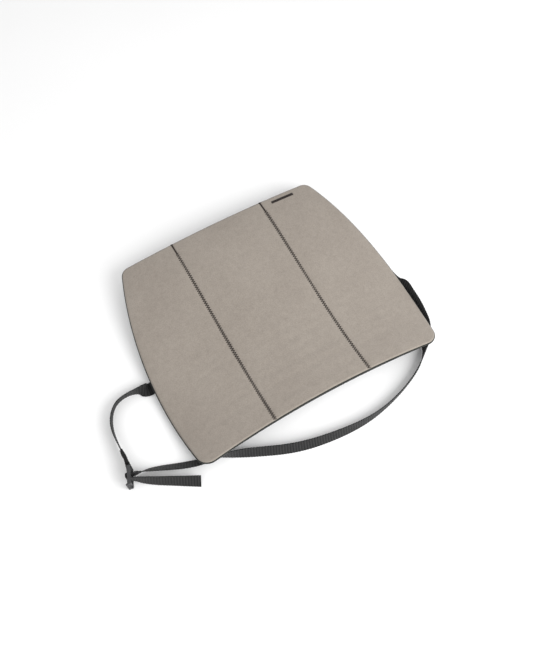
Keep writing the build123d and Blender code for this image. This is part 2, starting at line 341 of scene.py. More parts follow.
# From the lead's end, round the grip bar and out to the cut end
TAIL_ROUTE = [
    (-0.2686, -0.1160, 90, 0.00325),
    (-0.2741, -0.1138, 90, 0.00325),
    (-0.2784, -0.1126, 90, 0.00325),
    (-0.2800, -0.1152, 90, 0.00325),
    (-0.2806, -0.1180, 90, 0.00325),
    (-0.2790, -0.1198, 90, 0.00325),
    (-0.2767, -0.1200, 90, 0.00325),
    (-0.2712, -0.1223, 90, 0.00325),
    (-0.2630, -0.1286, 78, 0.0022),
    (-0.2480, -0.1380, 70, 0.001),
    (-0.2320, -0.1470, 66, 0.0004),
    (-0.2150, -0.1568, 60, 0),
    (-0.1966, -0.1672, 52, 0),
]


def web_centre(point):
    x, y, lean, lift = point
    rise = WEB_WIDTH / 2 * math.sin(math.radians(lean))
    half_thick = WEB_THICKNESS / 2 * abs(math.cos(math.radians(lean)))
    return Vector((x, y, (rise + half_thick + WEB_LIFT) * MM + lift))


def spline_line(points, steps=24):
    """The points that a NURBS spline with these control points passes through."""
    curve = bpy.data.curves.new("route", "CURVE")
    curve.dimensions = "3D"
    spline = curve.splines.new("NURBS")
    spline.points.add(len(points) - 1)
    for control, place in zip(spline.points, points):
        control.co = (*place, 1.0)
    spline.order_u = 3
    spline.use_endpoint_u = True
    spline.resolution_u = steps
    holder = bpy.data.objects.new("route", curve)
    mesh = bpy.data.meshes.new_from_object(holder)
    line = np.array([v.co[:] for v in mesh.vertices])
    bpy.data.objects.remove(holder)
    bpy.data.curves.remove(curve)
    bpy.data.meshes.remove(mesh)
    return line


# Half of the webbing's section: how far across, and how much of the half thickness
SELVEDGE = [
    (-1.0, 0.0), (-0.994, 0.55), (-0.975, 0.95), (-0.94, 1.1), (-0.9, 0.97), (-0.75, 0.93),
    (-0.5, 0.97), (-0.25, 0.93), (0.0, 0.97), (0.25, 0.93), (0.5, 0.97), (0.75, 0.93),
    (0.9, 0.97), (0.94, 1.1), (0.975, 0.95), (0.994, 0.55),
]
SECTION = SELVEDGE + [(-across, -up) for across, up in SELVEDGE]


def ribbon(name, line, edge):
    """Ribbed webbing whose middle follows line and whose width points to edge, and its middle."""
    steps = np.linalg.norm(np.diff(line, axis=0), axis=1)
    reached = np.concatenate([[0.0], np.cumsum(steps)])
    total = reached[-1]
    count = max(8, round(total / (RIB_PITCH * MM))) * ROWS_PER_RIB
    places = np.linspace(0, total, count + 1)
    middle = np.stack([np.interp(places, reached, line[:, k]) for k in range(3)], 1)
    side = np.stack([np.interp(places, reached, (edge - line)[:, k]) for k in range(3)], 1)
    along = np.gradient(middle, axis=0)
    along /= np.linalg.norm(along, axis=1)[:, None]
    side -= (side * along).sum(1)[:, None] * along
    side /= np.linalg.norm(side, axis=1)[:, None]
    face = np.cross(along, side)
    phase = np.arange(count + 1) / ROWS_PER_RIB * 2 * math.pi
    half_thick = WEB_THICKNESS / 2 * (0.82 + 0.18 * np.cos(phase)) * MM
    half_wide = WEB_WIDTH / 2 * (1 - 0.008 * (1 - np.cos(phase))) * MM
    points, faces = [], []
    ring = len(SECTION)
    for i in range(count + 1):
        for across, up in SECTION:
            place = middle[i] + side[i] * across * half_wide[i] + face[i] * up * half_thick[i]
            points.append(place / MM)
    for i in range(count):
        for k in range(ring):
            n = (k + 1) % ring
            faces.append((i * ring + k, i * ring + n, (i + 1) * ring + n, (i + 1) * ring + k))
    faces.append(tuple(range(ring))[::-1])
    faces.append(tuple(count * ring + k for k in range(ring)))
    made = to_object(name, points, faces)
    layer = made.data.uv_layers.new(name="web")
    for polygon in made.data.polygons:
        rows = [v // ring for v in polygon.vertices]
        for loop, vertex in zip(polygon.loop_indices, polygon.vertices):
            row, k = divmod(vertex, ring)
            layer.data[loop].uv = (SECTION[k][0] * WEB_WIDTH / 2 * MM, places[row])
        if max(rows) == min(rows):
            polygon.use_smooth = False
    return made, middle


def webbing(name, route):
    """Webbing along one of the routes above, and the line of its middle."""
    centres = [web_centre(point) for point in route]
    edges = []
    for i, (centre, point) in enumerate(zip(centres, route)):
        before = centres[max(i - 1, 0)]
        after = centres[min(i + 1, len(centres) - 1)]
        along = (after - before).normalized()
        side = Vector((0, 0, 1)).cross(along).normalized()
        upward = along.cross(side).normalized()
        lean = math.radians(point[2])
        across = side * math.cos(lean) + upward * math.sin(lean)
        edges.append(centre + across * WEB_WIDTH / 2 * MM)
    return ribbon(name, spline_line(centres), spline_line(edges))


left_web, left_line = webbing("left_webbing", LEFT_ROUTE)
right_web, right_line = webbing("right_webbing", RIGHT_ROUTE)
lead_web = webbing("lead_webbing", LEAD_ROUTE)[0]
tail_web = webbing("tail_webbing", TAIL_ROUTE)[0]


# ------------------------------------------------------------------ materials
class Nodes:
    """Short names for the material nodes used here."""

    def __init__(self, name):
        self.material = bpy.data.materials.new(name)
        self.material.use_nodes = True
        self.tree = self.material.node_tree
        self.shader = self.tree.nodes["Principled BSDF"]
        self.place = self.add("ShaderNodeTexCoord").outputs["Object"]

    def add(self, kind, **facts):
        node = self.tree.nodes.new(kind)
        for key, value in facts.items():
            setattr(node, key, value)
        return node

    def link(self, source, target):
        self.tree.links.new(source, target)

    def noise(self, scale, detail=2.0, roughness=0.5, place=None):
        node = self.add("ShaderNodeTexNoise")
        node.inputs["Scale"].default_value = scale
        node.inputs["Detail"].default_value = detail
        node.inputs["Roughness"].default_value = roughness
        self.link(place or self.place, node.inputs["Vector"])
        return node.outputs["Fac"]

    def wave(self, scale, direction, place, distortion=0.0):
        node = self.add("ShaderNodeTexWave", bands_direction=direction)
        node.inputs["Scale"].default_value = scale
        node.inputs["Distortion"].default_value = distortion
        node.inputs["Detail"].default_value = 1.0
        self.link(place, node.inputs["Vector"])
        return node.outputs["Fac"]

    def ramp(self, source, low, high, dark, light):
        node = self.add("ShaderNodeValToRGB")
        node.color_ramp.elements[0].position = low
        node.color_ramp.elements[1].position = high
        node.color_ramp.elements[0].color = (*dark, 1.0)
        node.color_ramp.elements[1].color = (*light, 1.0)
        self.link(source, node.inputs["Fac"])
        return node.outputs["Color"]

    def blend(self, kind, factor, a, b):
        node = self.add("ShaderNodeMix", data_type="RGBA", blend_type=kind)
        for socket, value in ((node.inputs[0], factor), (node.inputs[6], a), (node.inputs[7], b)):
            if isinstance(value, (int, float)):
                socket.default_value = value
            elif isinstance(value, tuple):
                socket.default_value = (*value, 1.0)
            else:
                self.link(value, socket)
        return node.outputs[2]

    def bump(self, height, strength, distance, base=None):
        node = self.add("ShaderNodeBump")
        node.inputs["Strength"].default_value = strength
        node.inputs["Distance"].default_value = distance
        self.link(height, node.inputs["Height"])
        if base is not None:
            self.link(base, node.inputs["Normal"])
        return node.outputs["Normal"]

    def finish(self, colour, roughness, normal=None, sheen=0.0, sheen_roughness=0.5, specular=0.3):
        self.link(colour, self.shader.inputs["Base Color"])
        if isinstance(roughness, float):
            self.shader.inputs["Roughness"].default_value = roughness
        else:
            self.link(roughness, self.shader.inputs["Roughness"])
        if normal is not None:
            self.link(normal, self.shader.inputs["Normal"])
        self.shader.inputs["Sheen Weight"].default_value = sheen
        self.shader.inputs["Sheen Roughness"].default_value = sheen_roughness
        self.shader.inputs["Specular IOR Level"].default_value = specular
        return self.material


def front_fabric_material():
    """A short-napped warm grey knit with a soft, cloudy tone."""
    n = Nodes("front_fabric")
    clouds = n.ramp(n.noise(16.0, 4.0, 0.6), 0.3, 0.7, (0.276, 0.242, 0.209), (0.306, 0.271, 0.235))
    nap = n.ramp(n.noise(140.0, 3.0, 0.65), 0.3, 0.72, (0.9, 0.9, 0.9), (1.0, 1.0, 1.0))
    loops = n.add("ShaderNodeTexVoronoi", distance="EUCLIDEAN")
    loops.inputs["Scale"].default_value = 640.0
    loops.inputs["Randomness"].default_value = 1.0
    n.link(n.place, loops.inputs["Vector"])
    speckle = n.ramp(loops.outputs["Distance"], 0.2, 0.75, (1.0, 1.0, 1.0), (0.88, 0.87, 0.86))
    fleck = n.ramp(n.noise(420.0, 2.0, 0.5), 0.66, 0.74, (1.0, 1.0, 1.0), (0.86, 0.85, 0.84))
    colour = n.blend("MULTIPLY", 1.0, clouds, nap)
    colour = n.blend("MULTIPLY", 1.0, colour, speckle)
    colour = n.blend("MULTIPLY", 0.8, colour, fleck)
    height = n.bump(loops.outputs["Distance"], 0.35, 0.0004)
    height = n.bump(n.noise(230.0, 3.0, 0.6), 0.25, 0.0006, height)
    return n.finish(colour, 0.92, height, sheen=0.18, sheen_roughness=0.6, specular=0.2)


def webbing_material():
    """Dark grey ribbed webbing: the ribs are in the mesh, the yarns are here, with painted light and shade in
    step with both.
    """
    n = Nodes("webbing")
    uv = n.add("ShaderNodeUVMap", uv_map="web").outputs["UV"]
    yarns = n.wave(300.0, "X", uv, 0.6)
    ribs = n.wave(math.pi * 2 / (RIB_PITCH * MM) / 20, "Y", uv)
    tone = n.ramp(n.noise(260.0, 3.0, 0.6, uv), 0.3, 0.7, (0.0135, 0.0135, 0.014), (0.0225, 0.0225, 0.023))
    # painted light and shade: the yarns lighter on top and darker in the grooves, in step with their bump
    yarn_light_and_shade = n.ramp(yarns, 0.1, 0.8, (0.62, 0.62, 0.62), (1.15, 1.15, 1.15))
    # painted light and shade: lighter and darker bands at the same pitch as the ribs in the mesh
    rib_light_and_shade = n.ramp(ribs, 0.2, 0.85, (1.35, 1.35, 1.35), (0.42, 0.42, 0.42))
    colour = n.blend("MULTIPLY", 0.7, tone, yarn_light_and_shade)
    colour = n.blend("MULTIPLY", 1.0, colour, rib_light_and_shade)
    height = n.bump(yarns, 0.5, 0.0003)
    return n.finish(colour, 0.8, height, sheen=0.07, sheen_roughness=0.5, specular=0.22)


def thread_material(name, dark, light):
    n = Nodes(name)
    tone = n.ramp(n.noise(500.0, 2.0, 0.5), 0.3, 0.7, dark, light)
    height = n.bump(n.noise(1800.0, 2.0, 0.6), 0.5, 0.0002)
    return n.finish(tone, 0.7, height, sheen=0.1, specular=0.3)


def back_fabric_material():
    """Black spacer mesh: rows of small holes, with painted shade darkening each hole."""
    n = Nodes("back_fabric")
    holes = n.add("ShaderNodeTexVoronoi", distance="EUCLIDEAN")
    holes.inputs["Scale"].default_value = 420.0
    holes.inputs["Randomness"].default_value = 0.12
    n.link(n.place, holes.inputs["Vector"])
    # painted shade: darker inside each hole, where the bump sinks
    net_with_painted_hole_shade = n.ramp(holes.outputs["Distance"], 0.18, 0.42, (0.006, 0.006, 0.006), (0.032, 0.032, 0.034))
    tone = n.ramp(n.noise(30.0, 3.0, 0.6), 0.3, 0.7, (0.8, 0.8, 0.8), (1.1, 1.1, 1.1))
    colour = n.blend("MULTIPLY", 1.0, net_with_painted_hole_shade, tone)
    height = n.bump(holes.outputs["Distance"], 0.8, 0.0006)
    return n.finish(colour, 0.85, height, sheen=0.15, specular=0.25)


def binding_material():
    """Dark grey-green woven tape."""
    n = Nodes("binding")
    tone = n.ramp(n.noise(300.0, 3.0, 0.6), 0.3, 0.7, (0.010, 0.011, 0.009), (0.026, 0.028, 0.023))
    height = n.bump(n.noise(1100.0, 2.0, 0.6), 0.6, 0.0003)
    return n.finish(tone, 0.85, height, sheen=0.12, specular=0.25)


def plastic_material(name, dark, light, roughness):
    """Moulded plastic with a fine sparked texture and a painted highlight that lightens its sharp edges."""
    n = Nodes(name)
    tone = n.ramp(n.noise(90.0, 3.0, 0.6), 0.3, 0.7, dark, light)
    edge = n.add("ShaderNodeNewGeometry").outputs["Pointiness"]
    # painted highlight: up to 1.7 times lighter on sharp convex edges
    edge_highlight = n.ramp(edge, 0.52, 0.62, (1.0, 1.0, 1.0), (1.7, 1.7, 1.7))
    colour = n.blend("MULTIPLY", 1.0, tone, edge_highlight)
    wear = n.ramp(n.noise(420.0, 3.0, 0.6), 0.3, 0.7, (roughness - 0.08,) * 3, (roughness + 0.1,) * 3)
    height = n.bump(n.noise(1500.0, 2.0, 0.5), 0.25, 0.0002)
    return n.finish(colour, wear, height, specular=0.5)


def foam_material():
    n = Nodes("foam")
    cells = n.add("ShaderNodeTexVoronoi")
    cells.inputs["Scale"].default_value = 700.0
    n.link(n.place, cells.inputs["Vector"])
    # painted shade: darker in the middle of each cell, where the bump sinks into the pore
    tone = n.ramp(cells.outputs["Distance"], 0.1, 0.6, (0.12, 0.12, 0.115), (0.27, 0.27, 0.26))
    height = n.bump(cells.outputs["Distance"], 0.8, 0.0008)
    return n.finish(tone, 0.95, height)


FRONT_FABRIC = front_fabric_material()
WEBBING = webbing_material()
SEAM_THREAD = thread_material("seam_thread", (0.010, 0.006, 0.005), (0.030, 0.020, 0.016))
BLACK_THREAD = thread_material("black_thread", (0.006, 0.006, 0.006), (0.022, 0.022, 0.022))
BACK_FABRIC = back_fabric_material()
BINDING = binding_material()
LOCK_PLASTIC = plastic_material("lock_plastic", (0.020, 0.020, 0.021), (0.032, 0.032, 0.034), 0.36)
PLATE_PLASTIC = plastic_material("plate_plastic", (0.04, 0.04, 0.04), (0.06, 0.06, 0.06), 0.5)
FOAM = foam_material()


# ------------------------------------------------------------------ the panel's form
def half_width(v):
    return MEAN_HALF_WIDTH - SIDE_TAPER * v + SIDE_BULGE * (1 - v * v)


def edge_surface(x, y):
    v = (y - CENTRE_SHIFT) / HALF_HEIGHT
    across = CROWN * (1 - (x / MEAN_HALF_WIDTH) ** 2)
    along = DIP * (1 - v * v) + WAVE * (v**3 - v)
    return EDGE_BACK_HEIGHT + across + along


def padding(x, y):
    v = (y - CENTRE_SHIFT) / HALF_HEIGHT
    s = np.minimum(np.abs(x) / half_width(v), 1.0)
    return (1 - s**12) * (1 - np.minimum(np.abs(v), 1.0) ** 8)


def front_surface(x, y):
    return edge_surface(x, y) + EDGE_THICKNESS + FRONT_PUFF * padding(x, y)


def back_surface(x, y):
    return edge_surface(x, y) - BACK_BELLY * padding(x, y)


def circle_through(a, b, c):
    """Centre and radius of the circle through three points."""
    (ax, ay), (bx, by), (cx, cy) = a, b, c
    d = 2 * (ax * (by - cy) + bx * (cy - ay) + cx * (ay - by))
    a2, b2, c2 = ax * ax + ay * ay, bx * bx + by * by, cx * cx + cy * cy
    x = (a2 * (by - cy) + b2 * (cy - ay) + c2 * (ay - by)) / d
    y = (a2 * (cx - bx) + b2 * (ax - cx) + c2 * (bx - ax)) / d
    return np.array((x, y)), math.hypot(ax - x, ay - y)


def circles_meet(a, ra, b, rb):
    """The two points at distance ra from a and rb from b."""
    d = np.linalg.norm(b - a)
    along = (ra * ra - rb * rb + d * d) / (2 * d)
    off = math.sqrt(max(ra * ra - along * along, 0.0))
    axis = (b - a) / d
    across = np.array((-axis[1], axis[0]))
    return a + axis * along + across * off, a + axis * along - across * off


def arc_points(centre, start, end, count):
    """Points on the short arc from start to end about a centre."""
    a = math.atan2(*(start - centre)[::-1])
    b = math.atan2(*(end - centre)[::-1])
    turn = (b - a + math.pi) % (2 * math.pi) - math.pi
    radius = np.linalg.norm(start - centre)
    angles = a + turn * np.linspace(0, 1, count)
    return centre + radius * np.stack([np.cos(angles), np.sin(angles)], 1)


class Outline:
    """The panel seen from above, drawn in by an inset: its left half, the right mirrored."""

    def __init__(self, inset=0.0):
        self.top = HALF_HEIGHT + CENTRE_SHIFT - inset
        bottom = CENTRE_SHIFT - HALF_HEIGHT + BOTTOM_RAISE + inset
        low = (inset - half_width(-1), bottom)
        high = (inset - half_width(1), self.top)
        side, side_radius = circle_through(low, (inset - half_width(0), CENTRE_SHIFT), high)
        self.under, self.under_radius = circle_through(low, (0, bottom + BOTTOM_HOLLOW), (-low[0], bottom))
        r = max(TOP_RADIUS - inset, SMALLEST_RADIUS)
        y = self.top - r
        x = side[0] - math.sqrt((side_radius - r) ** 2 - (y - side[1]) ** 2)
        upper = np.array((x, y))
        r = max(BOTTOM_RADIUS - inset, SMALLEST_RADIUS)
        meet = circles_meet(side, side_radius - r, self.under, self.under_radius + r)
        lower = min(meet, key=lambda p: p[0] + p[1])
        on_side = lambda p: side + (p - side) / np.linalg.norm(p - side) * side_radius
        low_side, high_side = on_side(lower), on_side(upper)
        low_end = self.under + (lower - self.under) / np.linalg.norm(lower - self.under) * self.under_radius
        high_end = np.array((upper[0], self.top))
        low_arc = arc_points(lower, low_end, low_side, 41)
        high_arc = arc_points(upper, high_side, high_end, 41)
        side_arc = arc_points(side, low_side, high_side, 200)
        self.left = np.concatenate([low_arc[20:], side_arc[1:], high_arc[1:21]])
        self.low_corner, self.high_corner = low_arc[:21][::-1], high_arc[20:]

    def under_y(self, x):
        return self.under[1] + np.sqrt(self.under_radius**2 - (x - self.under[0]) ** 2)

    def top_run(self, low_x, high_x, count=60):
        xs = np.linspace(low_x, high_x, count)
        return np.stack([xs, np.full(count, self.top)], 1)

    def under_run(self, low_x, high_x, count=60):
        xs = np.linspace(low_x, high_x, count)
        return np.stack([xs, self.under_y(xs)], 1)

    def around(self):
        """All the way round, clockwise from the lower left, about 0.5 mm apart."""
        half = np.concatenate([self.low_corner[::-1], self.left[1:], self.high_corner[1:]])
        half = np.concatenate([half, self.top_run(half[-1][0], 0, 200)[1:]])
        half = np.concatenate([self.under_run(0, half[0][0], 200)[:-1], half])
        ring = np.concatenate([half, (half * (-1, 1))[::-1][1:-1]])
        return evenly(np.concatenate([ring, ring[:1]]), 2600)[:-1]


def at_shares(line, shares):
    """Points at shares of a polyline's length."""
    reached = np.concatenate([[0], np.cumsum(np.linalg.norm(np.diff(line, axis=0), axis=1))])
    places = np.asarray(shares) * reached[-1]
    return np.stack([np.interp(places, reached, line[:, k]) for k in range(line.shape[1])], 1)


def evenly(line, count):
    return at_shares(line, np.linspace(0, 1, count))


def knots(length, pitch, fine_start, fine_end):
    """Shares of a length, close together at the ends that roll over the rim."""
    close = [0.0, 0.12, 0.45, 1.0, 1.75, 2.6, 3.6, 5.0]
    start = close if fine_start else [0.0]
    end = close if fine_end else [0.0]
    middle = length - start[-1] - end[-1]
    count = round(middle / pitch)
    run = [start[-1] + middle * k / count for k in range(1, count)]
    return np.array(start + run + [length - e for e in reversed(end)]) / length


def patch(left, right, under, top, us, vs):
    """A grid of plan points between four edges that share their corners."""
    l, r = at_shares(left, vs)[:, None], at_shares(right, vs)[:, None]
    b, t = at_shares(under, us)[None], at_shares(top, us)[None]
    u, v = np.asarray(us)[None, :, None], np.asarray(vs)[:, None, None]
    low_corners = (1 - u) * (1 - v) * b[:, :1] + u * (1 - v) * b[:, -1:]
    corners = low_corners + (1 - u) * v * t[:, :1] + u * v * t[:, -1:]
    return (1 - u) * l + u * r + (1 - v) * b + v * t - corners


def side_patch(outline, seam_x, pitch, fine=True):
    """The left section, from the rim to a line at seam_x."""
    seam_low = np.array((seam_x, outline.under_y(seam_x)))
    seam_high = np.array((seam_x, outline.top))
    under = np.concatenate([outline.low_corner, outline.under_run(outline.low_corner[-1][0], seam_x)[1:]])
    top = np.concatenate([outline.high_corner, outline.top_run(outline.high_corner[-1][0], seam_x)[1:]])
    us = knots(115.0, pitch, fine, False)
    vs = knots(315.0, pitch, fine, fine)
    return patch(outline.left, np.array((seam_low, seam_high)), under, top, us, vs)


def middle_patch(outline, seam_x, pitch, fine=True):
    """The section between the seams."""
    left = np.array(((-seam_x, outline.under_y(seam_x)), (-seam_x, outline.top)))
    us = knots(2 * seam_x, pitch, False, False)
    vs = knots(310.0, pitch, fine, fine)
    under, top = outline.under_run(-seam_x, seam_x), outline.top_run(-seam_x, seam_x)
    return patch(left, left * (-1, 1), under, top, us, vs)


def whole_patch(outline, pitch, fine=True):
    """The whole panel as one grid."""
    under = outline.under_run(outline.low_corner[-1][0], -outline.low_corner[-1][0], 120)
    under = np.concatenate([outline.low_corner, under[1:-1], (outline.low_corner * (-1, 1))[::-1]])
    top = outline.top_run(outline.high_corner[-1][0], -outline.high_corner[-1][0], 120)
    top = np.concatenate([outline.high_corner, top[1:-1], (outline.high_corner * (-1, 1))[::-1]])
    us, vs = knots(380.0, pitch, fine, fine), knots(315.0, pitch, fine, fine)
    return patch(outline.left, outline.left * (-1, 1), under, top, us, vs)


def grid_faces(rows, columns, first=0, flip=False):
    faces = []
    for j in range(rows - 1):
        for i in range(columns - 1):
            a = first + j * columns + i
            quad = (a, a + 1, a + columns + 1, a + columns)
            faces.append(quad[::-1] if flip else quad)
    return faces


RIM = Outline()
RIM_RING = RIM.around()
rim_tree = kdtree.KDTree(len(RIM_RING))
for rim_index, rim_point in enumerate(RIM_RING):
    rim_tree.insert((rim_point[0], rim_point[1], 0.0), rim_index)
rim_tree.balance()


def from_rim(x, y):
    """How far a plan point is inside the rim."""
    here = np.array((x, y))
    _, k, _ = rim_tree.find((x, y, 0.0))
    best = 1e9
    for a, b in ((k - 1, k), (k, (k + 1) % len(RIM_RING))):
        start, run = RIM_RING[a], RIM_RING[b] - RIM_RING[a]
        share = np.clip((here - start) @ run / (run @ run), 0, 1)
        best = min(best, np.linalg.norm(here - start - run * share))
    return best


# ------------------------------------------------------------------ front cover
def swell(made, pinned):
    """Blows a cover out between its pinned edges and returns how far each point moved."""
    before = coords(made)
    group = made.vertex_groups.new(name="pinned")
    group.add(pinned, 1.0, "REPLACE")
    cloth = made.modifiers.new("cloth", "CLOTH")
    settings = cloth.settings
    settings.quality = 5
    settings.mass = 0.3
    settings.tension_stiffness = 40
    settings.compression_stiffness = 40
    settings.shear_stiffness = 20
    settings.bending_stiffness = 2.0
    settings.vertex_group_mass = "pinned"
    settings.use_pressure = True
    settings.uniform_pressure_force = CLOTH_PRESSURE
    settings.effector_weights.gravity = 0.0
    cloth.point_cache.frame_start = 1
    cloth.point_cache.frame_end = CLOTH_FRAMES
    for number in range(1, CLOTH_FRAMES + 1):
        scene.frame_set(number)
    graph = bpy.context.evaluated_depsgraph_get()
    shaped = made.evaluated_get(graph).to_mesh()
    after = np.array([v.co[:] for v in shaped.vertices])
    made.modifiers.clear()
    scene.frame_set(1)
    return after - before


def front_panel(name, plan, node, seams):
    """One padded section of the front, from its plan grid."""
    rows, columns = plan.shape[:2]
    flat = plan.reshape(-1, 2)
    heights = front_surface(flat[:, 0], flat[:, 1])
    made = to_object(name, np.column_stack([flat, heights]), grid_faces(rows, columns))
    on_rim = [i for i, (x, y) in enumerate(flat) if from_rim(x, y) < 0.05]
    held = [
        i for i, (x, y) in enumerate(flat)
        if from_rim(x, y) < HELD_RIM or min(abs(x - s) for s in seams) < HELD_SEAM
    ]
    moved = swell(made, held)
    most = np.abs(moved[:, 2]).max()
    share = min(1.0, PUFF_CAP * MM / max(most, 1e-9))
    moved[:, :2] = 0
    set_coords(made, coords(made) + np.abs(moved) * share)
    made.vertex_groups.clear()
    rim_group = made.vertex_groups.new(name="rim")
    rim_group.add(on_rim, 1.0, "REPLACE")
    finer = made.modifiers.new("finer", "SUBSURF")
    finer.levels = finer.render_levels = 1
    finer.boundary_smooth = "PRESERVE_CORNERS"
    finer.subdivision_type = "SIMPLE"
    bake_modifiers(made)
    points = coords(made) / MM
    for vertex in made.data.vertices:
        x, y, z = points[vertex.index]
        at_rim = any(g.weight > 0.99 for g in vertex.groups)
        inside = 0.0 if at_rim else from_rim(x, y)
        if inside < ROLL_WIDTH:
            slope = (ROLL_WIDTH - inside) / ROLL_WIDTH
            z -= ROLL_DROP * (1 - math.sqrt(max(0.0, 1 - slope * slope)))
        seam = min(abs(x - s) for s in seams)
        dip = SEAM_DIP * math.exp(-((seam / SEAM_SOFTNESS) ** 2))
        by_seam = math.exp(-seam / PUCKER_REACH) * (1 - math.exp(-seam / 2.0))
        pucker = by_seam + 0.6 * math.exp(-inside / PUCKER_REACH)
        waves = noise.noise(Vector((x * 0.06, y * 0.21, 3.0)))
        rolling = noise.noise(Vector((x * 0.022, y * 0.022, 9.0)))
        z += PUCKER_HEIGHT * pucker * waves + WAVE_HEIGHT * rolling * min(1.0, inside / WAVE_START) - dip
        points[vertex.index][2] = z
    set_coords(made, points * MM)
    made.vertex_groups.clear()
    shell = made.modifiers.new("shell", "SOLIDIFY")
    shell.thickness = COVER_THICKNESS * MM
    shell.offset = -1.0
    bake_modifiers(made)
    dress(made, FRONT_FABRIC, "panel", "front_fabric", node)


left_plan = side_patch(RIM, -SEAM_X - SEAM_GAP, FRONT_PITCH)
middle_plan = middle_patch(RIM, SEAM_X - SEAM_GAP, FRONT_PITCH)
right_plan = (left_plan * (-1, 1))[:, ::-1]
SEAMS = (-SEAM_X, SEAM_X)
front_panel("front_pad_left", left_plan, "front_panel_left", SEAMS)
front_panel("front_pad_centre", middle_plan, "front_panel_centre", SEAMS)
front_panel("front_pad_right", right_plan, "front_panel_right", SEAMS)

# ------------------------------------------------------------------ back cover
back_plan = whole_patch(RIM, BACK_PITCH)
back_rows, back_columns = back_plan.shape[:2]
back_flat = back_plan.reshape(-1, 2)
back_heights = back_surface(back_flat[:, 0], back_flat[:, 1]) + 0.15
back_points = np.column_stack([back_flat, back_heights])
back = to_object("back_cover_mesh", back_points, grid_faces(back_rows, back_columns, flip=True))
back_finer = back.modifiers.new("finer", "SUBSURF")
back_finer.levels = back_finer.render_levels = 1
back_finer.subdivision_type = "SIMPLE"
back_shell = back.modifiers.new("shell", "SOLIDIFY")
back_shell.thickness = 1.0 * MM
back_shell.offset = -1.0
bake_modifiers(back)
dress(back, BACK_FABRIC, "panel", "back_fabric", "back_cover")

# ------------------------------------------------------------------ foam inside
foam_plan = whole_patch(Outline(FOAM_INSET), FOAM_PITCH, fine=False)
foam_rows, foam_columns = foam_plan.shape[:2]
foam_flat = foam_plan.reshape(-1, 2)
foam_top = front_surface(foam_flat[:, 0], foam_flat[:, 1]) - 3.2
foam_low = np.minimum(back_surface(foam_flat[:, 0], foam_flat[:, 1]) + 3.4, foam_top - 0.4)
foam_points = np.concatenate([np.column_stack([foam_flat, foam_top]), np.column_stack([foam_flat, foam_low])])
foam_count = len(foam_flat)
foam_faces = grid_faces(foam_rows, foam_columns) + grid_faces(foam_rows, foam_columns, foam_count, flip=True)
foam_ring = list(range(foam_columns))
foam_ring += [foam_columns * j + foam_columns - 1 for j in range(1, foam_rows)]
foam_ring += [foam_columns * (foam_rows - 1) + i for i in range(foam_columns - 2, -1, -1)]
foam_ring += [foam_columns * j for j in range(foam_rows - 2, 0, -1)]
for a, b in zip(foam_ring, foam_ring[1:] + foam_ring[:1]):
    foam_faces.append((b, a, a + foam_count, b + foam_count))
foam = to_object("foam_pad", foam_points, foam_faces)
dress(foam, FOAM, "panel", "foam", "foam_core")

# ------------------------------------------------------------------ edge tape
# The tape's section: how far out from the rim, and how far up from the back
TAPE = [
    (-1.0, 4.2), (-0.45, 4.5), (0.3, 4.35), (0.9, 3.8), (1.2, 2.9), (1.2, 1.6), (0.9, 0.8),
    (0.5, 0.25), (-0.2, 0.0), (-1.0, 0.1), (-1.0, 2.2),
]


def edge_tape():
    ring = RIM_RING[::2]
    ahead = np.roll(ring, -1, axis=0) - np.roll(ring, 1, axis=0)
    ahead /= np.linalg.norm(ahead, axis=1)[:, None]
    outward = np.stack([-ahead[:, 1], ahead[:, 0]], 1)
    if (outward * ring).sum() < 0:
        outward = -outward
    base = edge_surface(ring[:, 0], ring[:, 1])
    points, faces = [], []
    for place, out, z in zip(ring, outward, base):
        for across, up in TAPE:
            points.append((*(place + out * across), z + up))
    count, size = len(ring), len(TAPE)
    for i in range(count):
        n = (i + 1) % count
        for k in range(size):
            m = (k + 1) % size
            faces.append((i * size + k, n * size + k, n * size + m, i * size + m))
    made = to_object("edge_tape", points, faces)
    dress(made, BINDING, "panel", "binding", "edge_binding")


edge_tape()


# ------------------------------------------------------------------ threads
def thread_faces(count, sides):
    """The faces of a thread of count rings, with both ends closed."""
    faces = []
    for i in range(count - 1):
        for k in range(sides):
            n = (k + 1) % sides
            faces.append((i * sides + k, i * sides + n, (i + 1) * sides + n, (i + 1) * sides + k))
    faces.append(tuple(range(sides))[::-1])
    faces.append(tuple((count - 1) * sides + k for k in range(sides)))
    return faces


def thread(points, radius, sides=6):
    """A round thread through points, for threads that don't run straight up."""
    points = np.asarray(points, float)
    along = np.gradient(points, axis=0)
    along /= np.linalg.norm(along, axis=1)[:, None]
    upward = np.array((0.0, 0.0, 1.0))
    verts = []
    for place, way in zip(points, along):
        side = np.cross(way, upward)
        side /= max(np.linalg.norm(side), 1e-9)
        up = np.cross(side, way)
        for k in range(sides):
            angle = 2 * math.pi * k / sides
            verts.append(place + radius * (side * math.cos(angle) + up * math.sin(angle)))
    return verts, thread_faces(len(points), sides)


def gathered(name, threads):
    """One object from several threads."""
    points, faces = [], []
    for verts, quads in threads:
        first = len(points)
        points += [tuple(v) for v in verts]
        faces += [tuple(first + i for i in q) for q in quads]
    return to_object(name, points, faces)


def cover_height(x, y):
    """The front cover near a seam, without its puckers."""
    seam = min(abs(x - s) for s in SEAMS)
    dip = SEAM_DIP * math.exp(-((seam / SEAM_SOFTNESS) ** 2))
    return float(front_surface(np.float64(x), np.float64(y))) - dip


